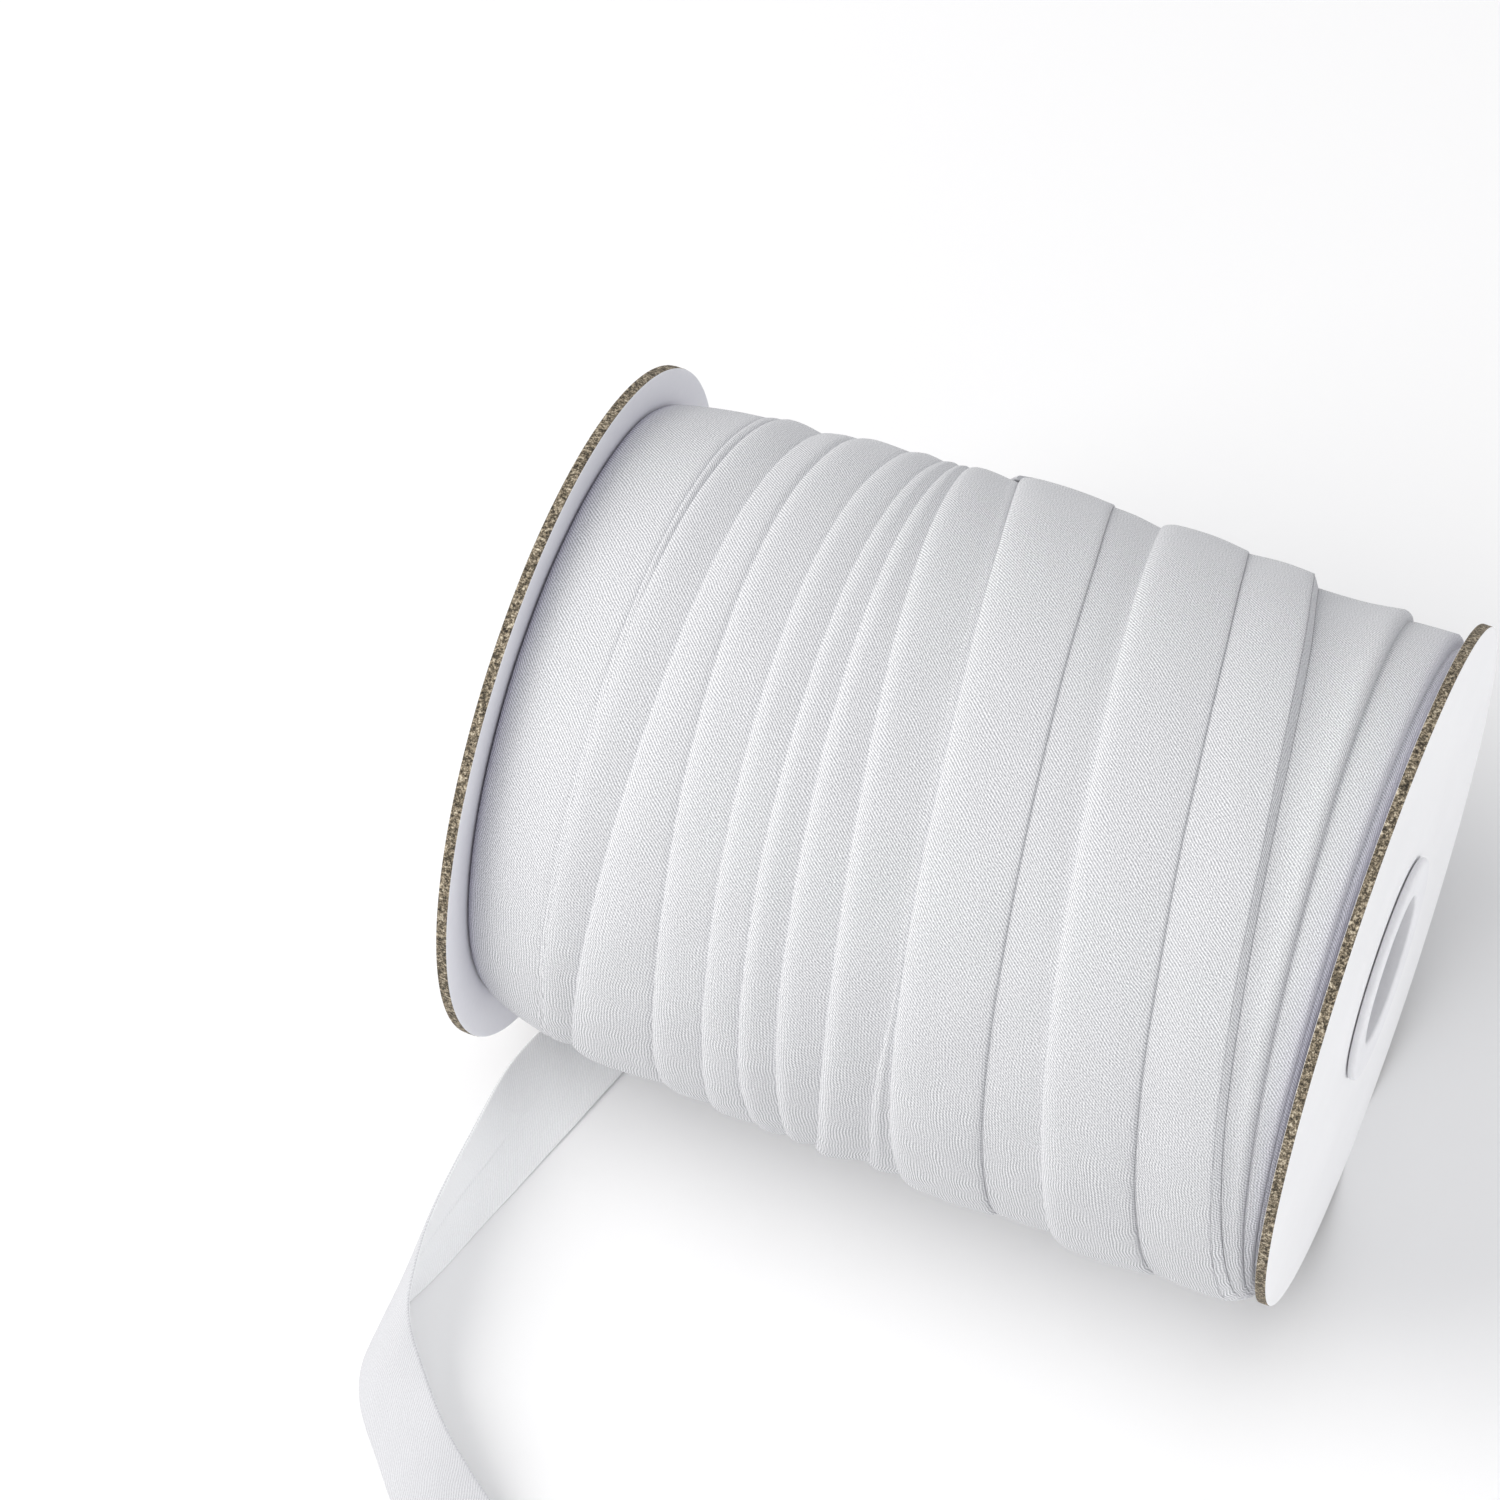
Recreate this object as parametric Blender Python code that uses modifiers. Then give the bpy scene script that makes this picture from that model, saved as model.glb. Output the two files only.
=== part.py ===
"""A spool of folded bias tape, standing on its rims with the free end lying on the table.

The spool's axis runs along X, the front is -Y and the table is z = 0. The origin is on the
table, under the middle of the winding. Sizes are millimetres until a mesh is made.
"""

import math

import bpy
import numpy as np

MM = 0.001
CLEARANCE = 0.3

# Spool
DISC_RADIUS = 45.0
DISC_THICKNESS = 1.45
DISC_SPACING = 106.9
DISC_STEPS = 96
FLAT_CHORD = 10.0
AXIS_HEIGHT = math.sqrt(DISC_RADIUS**2 - (FLAT_CHORD / 2) ** 2)
LEAN_UP = -0.041
LEAN_BACK = 0.008

# Paper tube, whose ends are rolled out over the discs
TUBE_INNER = 9.7
TUBE_OUTER = 12.2
LIP_RADIUS = 14.75
LIP_PROUD = 1.2
LIP_ROUND = 0.35
TUBE_STEPS = 64
LEAN_STARTS = 44.0
INNER_FACE = DISC_SPACING / 2
OUTER_FACE = INNER_FACE + DISC_THICKNESS

# Wound tape: the edge of each wrap that shows, from left to right
TAPE_WIDTH = 12.0
ANGLE_STEPS = 60
EDGE_ANGLES = (-30, 10, 50, 90, 130)
HIDDEN_ANGLES = (196, 263)
EDGE_STEP = 0.15
CREST_AT = 0.45
CREST_RISE = 0.35
FULL_CREST_WIDTH = 6.0
FRONT_ANGLE = -30
LEFT_END_RADII = (38.5, 40.1)
RIGHT_END_RADII = (42.0, 39.6)
# Underneath, the winding has sagged to the table between these places along X.
SAG_RADIUS = 45.2
SAG_PLACES = (-13.0, -7.0, 48.0, 51.0)
SAG_ANGLES = (9.0, 20.0)
# Columns: x at each of EDGE_ANGLES; then the radius just left and just right of the edge,
# first low on the front and then high on the back.
WRAP_EDGES = (
    ((-43.9, -43.1, -43.0, -42.8, -41.7), (41.7, 42.1), (42.2, 42.7)),
    ((-40.8, -37.5, -36.3, -35.7, -34.5), (41.9, 42.3), (42.2, 42.8)),
    ((-26.3, -26.9, -29.2, -30.9, -30.0), (42.5, 43.1), (42.9, 43.4)),
    ((-20.9, -20.6, -22.4, -23.9, -22.9), (43.0, 43.6), (43.3, 43.8)),
    ((-12.9, -15.2, -17.5, -19.0, -18.4), (43.7, 44.3), (43.5, 43.9)),
    ((-9.8, -10.4, -12.8, -15.3, -16.0), (44.0, 44.5), (43.6, 44.1)),
    ((-6.8, -4.3, -6.7, -11.0, -13.7), (44.1, 44.7), (43.9, 44.3)),
    ((5.8, 4.8, 2.2, -1.6, -6.2), (43.9, 44.8), (44.0, 44.8)),
    ((17.3, 16.5, 14.0, 10.4, 6.2), (45.5, 45.0), (45.4, 44.4)),
    ((26.2, 24.7, 21.0, 16.5, 12.6), (44.9, 45.6), (44.0, 44.6)),
    ((38.6, 36.4, 33.2, 29.1, 24.5), (46.2, 45.7), (44.6, 44.1)),
    ((49.4, 46.6, 43.0, 38.6, 33.3), (46.1, 45.2), (44.6, 42.9)),
    ((51.7, 50.6, 48.4, 46.3, 45.1), (44.8, 44.0), (43.8, 42.4)),
    ((52.6, 52.4, 52.1, 51.5, 51.5), (43.6, 42.6), (42.8, 41.2)),
)

# Free end: it leaves the underside of the winding, rolls over by half a turn on its right
# edge as it comes forward, and ends in a plain cut.
SHEET_THICKNESS = 1.0
SHEET_ROWS_APART = 3.0
SHEET_COLUMNS = 8
FREE_START = (-35.4, 2.3)
LIFT_OFF_RADIUS = 43.75
LIFT_OFF_RUN = 26.0
# Columns: length along the tape, heading from -Y towards +X, tilt of the cloth across its
# width (180 lies with its back up, 90 stands on edge, 0 lies with its face up), and how far
# the cloth is bent across its width. Angles are degrees.
FREE_STATIONS = (
    (0.0, -18.5, 180.0, 0.0),
    (14.0, -18.5, 180.0, 0.0),
    (26.0, -17.7, 177.3, 7.6),
    (36.0, -13.3, 157.2, 21.3),
    (46.0, -10.7, 132.8, 40.0),
    (56.0, -11.1, 114.7, 49.5),
    (66.0, -6.4, 98.1, 53.8),
    (76.0, 1.4, 71.8, 38.5),
    (86.0, 35.0, 46.5, 27.8),
    (96.0, 43.5, 42.6, 19.0),
    (106.0, 52.8, 27.1, 7.6),
    (116.0, 58.8, 8.5, 1.5),
    (128.0, 60.8, 0.0, 0.0),
)


def clear_scene():
    for thing in list(bpy.data.objects):
        bpy.data.objects.remove(thing, do_unlink=True)


def material(name, colour, roughness):
    made = bpy.data.materials.new(name)
    made.use_nodes = True
    shader = made.node_tree.nodes["Principled BSDF"]
    shader.inputs["Base Color"].default_value = (*colour, 1.0)
    shader.inputs["Roughness"].default_value = roughness
    shader.inputs["Metallic"].default_value = 0.0
    return made


def add_object(name, mesh, collection, cover, parent=None):
    mesh.name = name
    mesh.materials.clear()
    mesh.materials.append(cover)
    made = bpy.data.objects.new(name, mesh)
    made.parent = parent
    collection.objects.link(made)
    return made


def smooth_step(value, start, end):
    t = np.clip((value - start) / (end - start), 0.0, 1.0)
    return t * t * (3.0 - 2.0 * t)


def curve_through(knots, values, wanted, period=None):
    """A smooth curve through the values at the knots, read at the wanted places."""
    knots = np.asarray(knots, float)
    values = np.asarray(values, float)
    wanted = np.asarray(wanted, float)
    if period:
        wanted = (wanted - knots[0]) % period + knots[0]
        knots = np.concatenate([[knots[-1] - period], knots, knots[:2] + period])
        values = np.concatenate([values[-1:], values, values[:2]])
    slopes = np.gradient(values, knots)
    place = np.clip(np.searchsorted(knots, wanted, side="right") - 1, 0, len(knots) - 2)
    span = knots[place + 1] - knots[place]
    t = (wanted - knots[place]) / span
    return (
        values[place] * (1 + 2 * t) * (1 - t) ** 2
        + values[place + 1] * t**2 * (3 - 2 * t)
        + slopes[place] * span * t * (1 - t) ** 2
        - slopes[place + 1] * span * t**2 * (1 - t)
    )


def lean(y, z):
    """How far a point of the left disc moves along X, because the tape pushes its top out."""
    return LEAN_BACK * y + LEAN_UP * (z - AXIS_HEIGHT)


def turned_mesh(profile, steps):
    """The closed (radius, x) profile, given in millimetres, turned about the spool's axis."""
    outline = bpy.data.meshes.new("outline")
    points = [(radius * MM, 0.0, along * MM) for radius, along in profile]
    edges = [(i, (i + 1) % len(points)) for i in range(len(points))]
    outline.from_pydata(points, edges, [])
    holder = bpy.data.objects.new("outline", outline)
    bpy.context.scene.collection.objects.link(holder)
    screw = holder.modifiers.new("turn", "SCREW")
    screw.axis = "Z"
    screw.steps = steps
    screw.render_steps = steps
    screw.use_merge_vertices = True
    screw.merge_threshold = 0.00001
    bpy.context.view_layer.update()
    graph = bpy.context.evaluated_depsgraph_get()
    mesh = bpy.data.meshes.new_from_object(holder.evaluated_get(graph))
    bpy.data.objects.remove(holder, do_unlink=True)
    bpy.data.meshes.remove(outline)
    return mesh


def settle_on_axis(mesh, leaning):
    """Turns the mesh's Z axis onto X, presses the flat spot and leans the left end."""
    for vertex in mesh.vertices:
        down, across, along = vertex.co / MM
        height = max(AXIS_HEIGHT - down, 0.0)
        if leaning and along < -LEAN_STARTS:
            share = float(smooth_step(-along, LEAN_STARTS, INNER_FACE - CLEARANCE))
            along += share * lean(across, height)
        vertex.co = (along * MM, across * MM, height * MM)
    mesh.update()


def make_disc(name, side, collection, cover, parent):
    """A card disc, on the left for side -1 and on the right for side +1."""
    near, far = sorted((side * INNER_FACE, side * OUTER_FACE))
    hole = TUBE_OUTER + CLEARANCE
    profile = ((DISC_RADIUS, far), (DISC_RADIUS, near), (hole, near), (hole, far))
    mesh = turned_mesh(profile, DISC_STEPS)
    settle_on_axis(mesh, side < 0)
    mesh.shade_smooth()
    mesh.set_sharp_from_angle(angle=math.radians(35))
    return add_object(name, mesh, collection, cover, parent)


def lip_profile():
    """One end of the tube, from its outer wall round the lip to its bore, as (radius, x)."""
    under = OUTER_FACE + CLEARANCE
    top = OUTER_FACE + LIP_PROUD
    return (
        (TUBE_OUTER, under),
        (LIP_RADIUS - LIP_ROUND, under),
        (LIP_RADIUS, under + LIP_ROUND),
        (LIP_RADIUS - LIP_ROUND, top - LIP_ROUND * 0.4),
        (LIP_RADIUS - 2 * LIP_ROUND, top),
        (TUBE_INNER + 2 * LIP_ROUND, top),
        (TUBE_INNER, top - 2 * LIP_ROUND),
    )


def make_tube(collection, cover, parent):
    right = [(radius, along) for radius, along in lip_profile()]
    left = [(radius, -along) for radius, along in reversed(right)]
    wall = [(TUBE_OUTER, -INNER_FACE), (TUBE_OUTER, -LEAN_STARTS), (TUBE_OUTER, LEAN_STARTS)]
    bore = [(TUBE_INNER, LEAN_STARTS), (TUBE_INNER, -LEAN_STARTS), (TUBE_INNER, -INNER_FACE)]
    outline = left + wall + right + bore
    mesh = turned_mesh(outline[::-1], TUBE_STEPS)
    settle_on_axis(mesh, True)
    mesh.shade_smooth()
    mesh.set_sharp_from_angle(angle=math.radians(50))
    return add_object("core_tube", mesh, collection, cover, parent)


def edge_places(angles):
    """The x of each wrap edge at each angle. The part of a wrap that is out of sight runs
    evenly from the last angle back to the first."""
    knots = EDGE_ANGLES + HIDDEN_ANGLES
    places = []
    for shown, _front, _back in WRAP_EDGES:
        step = (shown[0] - shown[-1]) / (len(HIDDEN_ANGLES) + 1)
        hidden = [shown[-1] + step * (i + 1) for i in range(len(HIDDEN_ANGLES))]
        places.append(curve_through(knots, list(shown) + hidden, angles, 360.0))
    return np.array(places)


def sagged(along, radius, angles):
    """The radius of the winding, let down to the table near its lowest line."""
    from_lowest = np.abs((angles + 270.0) % 360.0 - 180.0)
    start, full, still_full, end = SAG_PLACES
    share = 1.0 - smooth_step(from_lowest, *SAG_ANGLES)
    share *= smooth_step(along, start, full) * (1.0 - smooth_step(along, still_full, end))
    return radius + share * np.maximum(SAG_RADIUS - radius, 0.0)


def winding_sections(angles):
    """For each angle, the x and radius of every point of the outer surface, left to right."""
    back_share = 0.5 - 0.5 * np.cos(np.radians(angles - FRONT_ANGLE))

    def blend(pair):
        return pair[0] + (pair[1] - pair[0]) * back_share

    end = INNER_FACE - CLEARANCE
    left_radius = blend(LEFT_END_RADII)
    y = -left_radius * np.cos(np.radians(angles))
    z = AXIS_HEIGHT + left_radius * np.sin(np.radians(angles))
    columns = [(-end + lean(y, z), left_radius)]
    for place, (_shown, front, back) in zip(edge_places(angles), WRAP_EDGES):
        columns.append((place - EDGE_STEP, blend((front[0], back[0]))))
        columns.append((place + EDGE_STEP, blend((front[1], back[1]))))
    columns.append((np.full_like(angles, end), blend(RIGHT_END_RADII)))
    full = [columns[0]]
    for number, column in enumerate(columns[1:]):
        if number % 2 == 0:
            before = full[-1]
            width = column[0] - before[0]
            rise = CREST_RISE * np.clip(width / FULL_CREST_WIDTH, 0.2, 1.0)
            crest = before[0] + CREST_AT * width
            full.append((crest, (before[1] + column[1]) / 2 + rise))
        full.append(column)
    full = [(along, sagged(along, radius, angles)) for along, radius in full]
    return np.array(full).transpose(2, 0, 1)


def make_winding(collection, cover):
    """A loft round the axis: at each angle a section that steps up and down at every wrap
    edge, closed by the two ends and by the hole for the tube."""
    angles = -90.0 + 360.0 * np.arange(ANGLE_STEPS) / ANGLE_STEPS
    sections = winding_sections(angles)
    hole = TUBE_OUTER + CLEARANCE
    end = INNER_FACE - CLEARANCE
    points = []
    for angle, section in zip(np.radians(angles), sections):
        inner_y = -hole * math.cos(angle)
        inner_z = AXIS_HEIGHT + hole * math.sin(angle)
        points.append((-end + lean(inner_y, inner_z), inner_y, inner_z))
        for along, radius in section:
            height = max(AXIS_HEIGHT + radius * math.sin(angle), 0.0)
            points.append((along, -radius * math.cos(angle), height))
        points.append((end, inner_y, inner_z))
    row = sections.shape[1] + 2
    faces = []
    for turn in range(ANGLE_STEPS):
        here = turn * row
        ahead = (turn + 1) % ANGLE_STEPS * row
        for i in range(row):
            j = (i + 1) % row
            faces.append((here + i, here + j, ahead + j, ahead + i))
    mesh = bpy.data.meshes.new("winding")
    mesh.from_pydata([tuple(c * MM for c in point) for point in points], [], faces)
    mesh.update()
    mesh.shade_smooth()
    mesh.set_sharp_from_angle(angle=math.radians(50))
    return add_object("wound_tape", mesh, collection, cover)


def free_end_rows():
    """The middle surface of the free end: rows of (x, y, z) across the cloth from its right
    edge to its left, with the direction that its back faces at each point."""
    stations = np.array(FREE_STATIONS)
    count = int(round(stations[-1, 0] / SHEET_ROWS_APART)) + 1
    length = np.linspace(0.0, stations[-1, 0], count)
    heading = np.radians(curve_through(stations[:, 0], stations[:, 1], length))
    tilt = np.radians(curve_through(stations[:, 0], stations[:, 2], length))
    bend = np.radians(curve_through(stations[:, 0], stations[:, 3], length))
    course = (heading[1:] + heading[:-1]) / 2
    x = FREE_START[0] + np.concatenate([[0.0], np.cumsum(np.sin(course))]) * length[1]
    y = FREE_START[1] - np.concatenate([[0.0], np.cumsum(np.cos(course))]) * length[1]
    across = np.linspace(-0.5, 0.5, SHEET_COLUMNS + 1)
    rows = []
    for i in range(count):
        slope = tilt[i] - bend[i] * across
        middle = (slope[1:] + slope[:-1]) / 2
        side = np.concatenate([[0.0], np.cumsum(np.cos(middle))]) * TAPE_WIDTH / SHEET_COLUMNS
        rise = np.concatenate([[0.0], np.cumsum(np.sin(middle))]) * TAPE_WIDTH / SHEET_COLUMNS
        side -= side[SHEET_COLUMNS // 2]
        facing = np.stack([np.sin(slope), -np.cos(slope)], 1)
        lowest = np.minimum(
            rise - facing[:, 1] * SHEET_THICKNESS / 2,
            rise + facing[:, 1] * SHEET_THICKNESS / 2,
        ).min()
        rise += winding_underside(y[i], length[i]) - lowest
        right = (math.cos(heading[i]), math.sin(heading[i]))
        middle_line = np.stack([x[i] + side * right[0], y[i] + side * right[1], rise], 1)
        back = np.stack([facing[:, 0] * right[0], facing[:, 0] * right[1], facing[:, 1]], 1)
        rows.append((middle_line, back))
    return rows


def winding_underside(y, length):
    """The height of the cloth's lower side: close under the winding at first, then on the
    table."""
    if length >= LIFT_OFF_RUN:
        return 0.0
    under = AXIS_HEIGHT - math.sqrt(LIFT_OFF_RADIUS**2 - y**2) - SHEET_THICKNESS / 2
    return under * (1.0 - float(smooth_step(length, 0.0, LIFT_OFF_RUN)))


def make_free_end(collection, cover):
    """A thin closed sheet, lofted through the rows of its middle surface."""
    points = []
    for middle_line, back in free_end_rows():
        points.extend(middle_line + back * SHEET_THICKNESS / 2)
        points.extend((middle_line - back * SHEET_THICKNESS / 2)[::-1])
    row = 2 * (SHEET_COLUMNS + 1)
    count = len(points) // row
    faces = [tuple(range(row))[::-1], tuple(range((count - 1) * row, count * row))]
    for here in range(0, (count - 1) * row, row):
        for i in range(row):
            j = (i + 1) % row
            faces.append((here + i, here + j, here + row + j, here + row + i))
    mesh = bpy.data.meshes.new("free_end")
    mesh.from_pydata([tuple(float(c) * MM for c in point) for point in points], [], faces)
    mesh.update()
    mesh.shade_smooth()
    mesh.set_sharp_from_angle(angle=math.radians(50))
    return add_object("free_end", mesh, collection, cover)


def build():
    clear_scene()
    collection = bpy.data.collections.new("bias_tape_roll")
    bpy.context.scene.collection.children.link(collection)
    spool = bpy.data.objects.new("spool", None)
    spool.empty_display_size = DISC_RADIUS * MM
    collection.objects.link(spool)
    make_disc("flange_left", -1, collection, material("left_card", (0.83, 0.83, 0.86), 0.55), spool)
    make_disc("flange_right", 1, collection, material("right_card", (0.86, 0.86, 0.87), 0.5), spool)
    make_tube(collection, material("tube_paper", (0.8, 0.79, 0.8), 0.6), spool)
    make_winding(collection, material("wound_cloth", (0.78, 0.79, 0.82), 0.9))
    make_free_end(collection, material("free_cloth", (0.8, 0.81, 0.84), 0.9))


build()
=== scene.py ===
"""Looks for the roll of bias tape: wraps, free end, card discs, tube, floor, light, camera."""

import math

import bmesh
import bpy
import numpy as np
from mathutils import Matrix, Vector


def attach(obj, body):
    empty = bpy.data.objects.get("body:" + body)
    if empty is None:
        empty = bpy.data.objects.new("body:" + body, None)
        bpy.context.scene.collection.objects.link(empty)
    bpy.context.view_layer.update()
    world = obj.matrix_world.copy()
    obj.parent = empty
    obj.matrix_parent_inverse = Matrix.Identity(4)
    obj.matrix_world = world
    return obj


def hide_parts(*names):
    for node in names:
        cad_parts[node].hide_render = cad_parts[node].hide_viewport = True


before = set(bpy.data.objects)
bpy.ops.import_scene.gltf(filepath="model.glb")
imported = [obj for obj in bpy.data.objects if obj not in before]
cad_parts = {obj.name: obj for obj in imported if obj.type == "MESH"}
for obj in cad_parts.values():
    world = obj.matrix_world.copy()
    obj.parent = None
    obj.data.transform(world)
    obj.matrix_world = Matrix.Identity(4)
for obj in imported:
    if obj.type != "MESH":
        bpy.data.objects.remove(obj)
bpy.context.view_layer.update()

MM = 0.001

# Sizes in millimetres, as in the solids
DISC_RADIUS = 45.0
DISC_THICKNESS = 1.45
INNER_FACE = 53.45
OUTER_FACE = INNER_FACE + DISC_THICKNESS
FLAT_CHORD = 10.0
AXIS_HEIGHT = math.sqrt(DISC_RADIUS**2 - (FLAT_CHORD / 2) ** 2)
LEAN_UP = -0.041
LEAN_BACK = 0.008
LEAN_STARTS = 44.0
TUBE_INNER = 9.7
TUBE_OUTER = 12.2
LIP_RADIUS = 14.75
LIP_PROUD = 1.2
CLEARANCE = 0.3
HOLE_RADIUS = TUBE_OUTER + CLEARANCE
WINDING_END = INNER_FACE - CLEARANCE
TAPE_WIDTH = 12.0

# Angles go round the axis in degrees: -90 at the bottom, 0 in front, 90 on top, 180 behind.
ANGLE_STEPS = 216
FRONT_ANGLE = -30
EDGE_ANGLES = (-30, -10, 10, 30, 50, 70, 90, 110, 130)
HIDDEN_ANGLES = (150, 170, 210, 250, 290, 310)
# How far an edge may run on to the right, and to the left, past the angles that show
RUN_ON = 1.0
RUN_BACK = 2.4
LEFT_END_RADII = (38.5, 40.1)
RIGHT_END_RADII = (42.0, 39.6)
MEAN_RADIUS = 44.0
# Heights over the table of the lowest cloth
LOWEST_WRAPS = 0.02
LOWEST_TAPE = 0.03
# Underneath, the winding has sagged to the table between these places along X
SAG_RADIUS = 45.2
SAG_PLACES = (-13.0, -7.0, 48.0, 51.0)
SAG_ANGLES = (9.0, 20.0)
# Columns: which side of the edge lies on top (1 right, -1 left), the crease's depth, x at each
# of EDGE_ANGLES, the radius just left and right of it low on the front, the same high on the
# back, and the angles between which it fades in (rising) or out (falling), if it does
WRAP_EDGES = (
    (1, 0.12, (-43.9, -43.3, -43.1, -43.0, -43.0, -43.0, -42.8, -42.4, -41.7),
     (42.0, 42.0), (42.3, 42.6), (52, 78)),
    (1, 0.22, (-42.6, -42.3, -42.2, -42.2, -42.2, -42.1, -41.9, -41.3, -40.3),
     (42.1, 42.2), (42.5, 42.7), (78, 95)),
    (1, 0.08, (-40.8, -38.8, -37.5, -36.7, -36.3, -36.0, -35.7, -35.3, -34.5),
     (42.1, 42.3), (42.3, 42.8), None),
    (1, 0.16, (-27.0, -27.1, -27.2, -28.0, -29.2, -30.2, -30.9, -30.9, -30.0),
     (42.9, 43.1), (43.1, 43.4), None),
    (1, 0.06, (-20.9, -20.3, -20.6, -21.4, -22.4, -23.3, -23.9, -23.8, -22.9),
     (43.3, 43.7), (43.5, 43.8), None),
    (1, 0.08, (-13.4, -14.6, -15.5, -16.4, -17.5, -18.4, -19.0, -19.0, -18.4),
     (43.9, 44.3), (43.6, 43.9), None),
    (1, 0.08, (-9.8, -9.7, -10.4, -11.5, -12.8, -14.2, -15.3, -16.0, -16.0),
     (44.1, 44.5), (43.7, 44.1), None),
    (1, 0.08, (-6.8, -4.7, -4.3, -5.1, -6.7, -8.8, -11.0, -12.7, -13.7),
     (44.2, 44.7), (44.0, 44.3), None),
    (1, 0.00, (0.5, 2.2, 2.6, 2.8, 1.2, -0.5, -2.6, -4.8, -7.2),
     (44.0, 44.3), (44.1, 44.2), (36, 14)),
    (1, 0.06, (5.8, 5.5, 4.8, 3.7, 2.2, 0.5, -1.6, -3.8, -6.2),
     (44.1, 44.8), (44.1, 44.8), None),
    (-1, 0.06, (18.2, 18.0, 17.0, 15.6, 14.1, 12.4, 10.4, 8.4, 6.2),
     (45.35, 45.0), (45.1, 44.8), None),
    (1, 0.00, (26.6, 26.2, 24.9, 23.0, 21.0, 18.8, 16.5, 14.4, 12.6),
     (45.1, 45.75), (44.25, 44.75), None),
    (-1, 0.10, (39.6, 38.6, 36.9, 35.1, 33.3, 31.2, 29.1, 26.8, 24.5),
     (46.1, 45.7), (44.6, 44.35), None),
    (-1, 0.03, (49.8, 48.6, 46.9, 45.0, 43.0, 40.9, 38.6, 36.1, 33.3),
     (46.1, 45.9), (44.55, 44.25), None),
    (-1, 0.12, (51.2, 49.9, 48.0, 45.9, 43.9, 41.8, 39.6, 37.1, 34.3),
     (45.4, 45.1), (43.25, 43.0), None),
    (-1, 0.12, (52.1, 51.7, 50.7, 49.6, 48.4, 47.3, 46.3, 45.6, 45.1),
     (44.8, 44.1), (43.7, 42.6), None),
    (-1, 0.10, (52.75, 52.6, 52.5, 52.3, 52.1, 51.7, 51.5, 51.5, 51.5),
     (43.6, 42.6), (42.8, 41.2), None),
)
# Columns for the strips between the edges, the first left of the first edge: how far across
# the strip its crest lies, how high the crest stands, and the points across it
STRIPS = (
    (0.45, 0.15, 14), (0.5, 0.0, 5), (0.4, 0.0, 8), (0.50, 0.10, 13), (0.5, 0.0, 10),
    (0.5, 0.0, 10), (0.5, 0.0, 7), (0.5, 0.0, 8), (0.5, 0.0, 12), (0.5, 0.0, 7),
    (0.6, 0.10, 14), (0.5, 0.10, 11), (0.6, 0.12, 14), (0.55, 0.20, 12), (0.5, 0.05, 5),
    (0.5, -0.22, 9), (0.55, 0.05, 8), (0.5, 0.05, 5),
)

# Free end, as in the solids
FREE_THICKNESS = 0.62
SLIT_DEPTH = 0.45
FREE_START = (-35.4, 2.3)
LIFT_OFF_RADIUS = 43.75
LIFT_OFF_RUN = 26.0
# Columns: length along the tape, heading from -Y towards +X, tilt across, bend across
FREE_STATIONS = (
    (0.0, -18.5, 180.0, 0.0),
    (14.0, -18.5, 180.0, 0.0),
    (26.0, -17.7, 177.3, 7.6),
    (36.0, -13.3, 157.2, 21.3),
    (46.0, -10.7, 132.8, 40.0),
    (56.0, -11.1, 114.7, 49.5),
    (66.0, -6.4, 98.1, 53.8),
    (76.0, 1.4, 71.8, 38.5),
    (86.0, 35.0, 46.5, 27.8),
    (96.0, 43.5, 42.6, 19.0),
    (106.0, 52.8, 27.1, 7.6),
    (116.0, 58.8, 8.5, 1.5),
    (128.0, 60.8, 0.0, 0.0),
)

# Last turn, on the back: angle and x of the tape's middle
LAST_TURN = (
    (152, -3.2), (161, -5.1), (170, -7.2), (190, -12.6), (210, -18.3), (230, -24.2),
    (250, -30.1), (268, -35.6),
)
LAST_TURN_STEP = 1.5
# It comes out from under a full wrap and leaves for the free end between these angles.
COMES_OUT = (152, 170)
LEAVES = (236, 264)
COVERED_BY = 0.75
PROUD_BY = 0.08
LAST_TURN_GAP = 0.1
LAST_TURN_ROWS_APART = 1.15


# Shapes
def smooth_step(value, start, end):
    """From none at start to one at end, without a corner."""
    t = np.clip((np.asarray(value, float) - start) / (end - start), 0.0, 1.0)
    return t * t * (3.0 - 2.0 * t)


def unrolled(angles):
    """The same angles, counted from -90 at the bottom up the front and down the back to 270."""
    return (angles + 90.0) % 360.0 - 90.0


def curve_through(knots, values, wanted, period=None):
    """A smooth curve through values at the knots, closed on itself where a period is given."""
    knots = np.asarray(knots, float)
    values = np.asarray(values, float)
    wanted = np.asarray(wanted, float)
    if period:
        wanted = (wanted - knots[0]) % period + knots[0]
        knots = np.concatenate([[knots[-1] - period], knots, knots[:2] + period])
        values = np.concatenate([values[-1:], values, values[:2]])
    slopes = np.gradient(values, knots)
    place = np.clip(np.searchsorted(knots, wanted, side="right") - 1, 0, len(knots) - 2)
    span = knots[place + 1] - knots[place]
    t = (wanted - knots[place]) / span
    return (
        values[place] * (1 + 2 * t) * (1 - t) ** 2
        + values[place + 1] * t**2 * (3 - 2 * t)
        + slopes[place] * span * t * (1 - t) ** 2
        - slopes[place + 1] * span * t**2 * (1 - t)
    )


def lean(y, z):
    """How far the left disc leans along X at a place."""
    return LEAN_BACK * y + LEAN_UP * (z - AXIS_HEIGHT)


def wander(angles, seed, waves=(2, 3, 5, 8, 13)):
    """A slow closed wave round the axis, between about -1 and 1, different for each seed."""
    rng = np.random.default_rng(seed)
    total = np.zeros_like(angles, dtype=float)
    for number in waves:
        total += rng.normal() * np.sin(np.radians(angles) * number + rng.uniform(0, 6.28)) / number
    return total / 0.6


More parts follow.
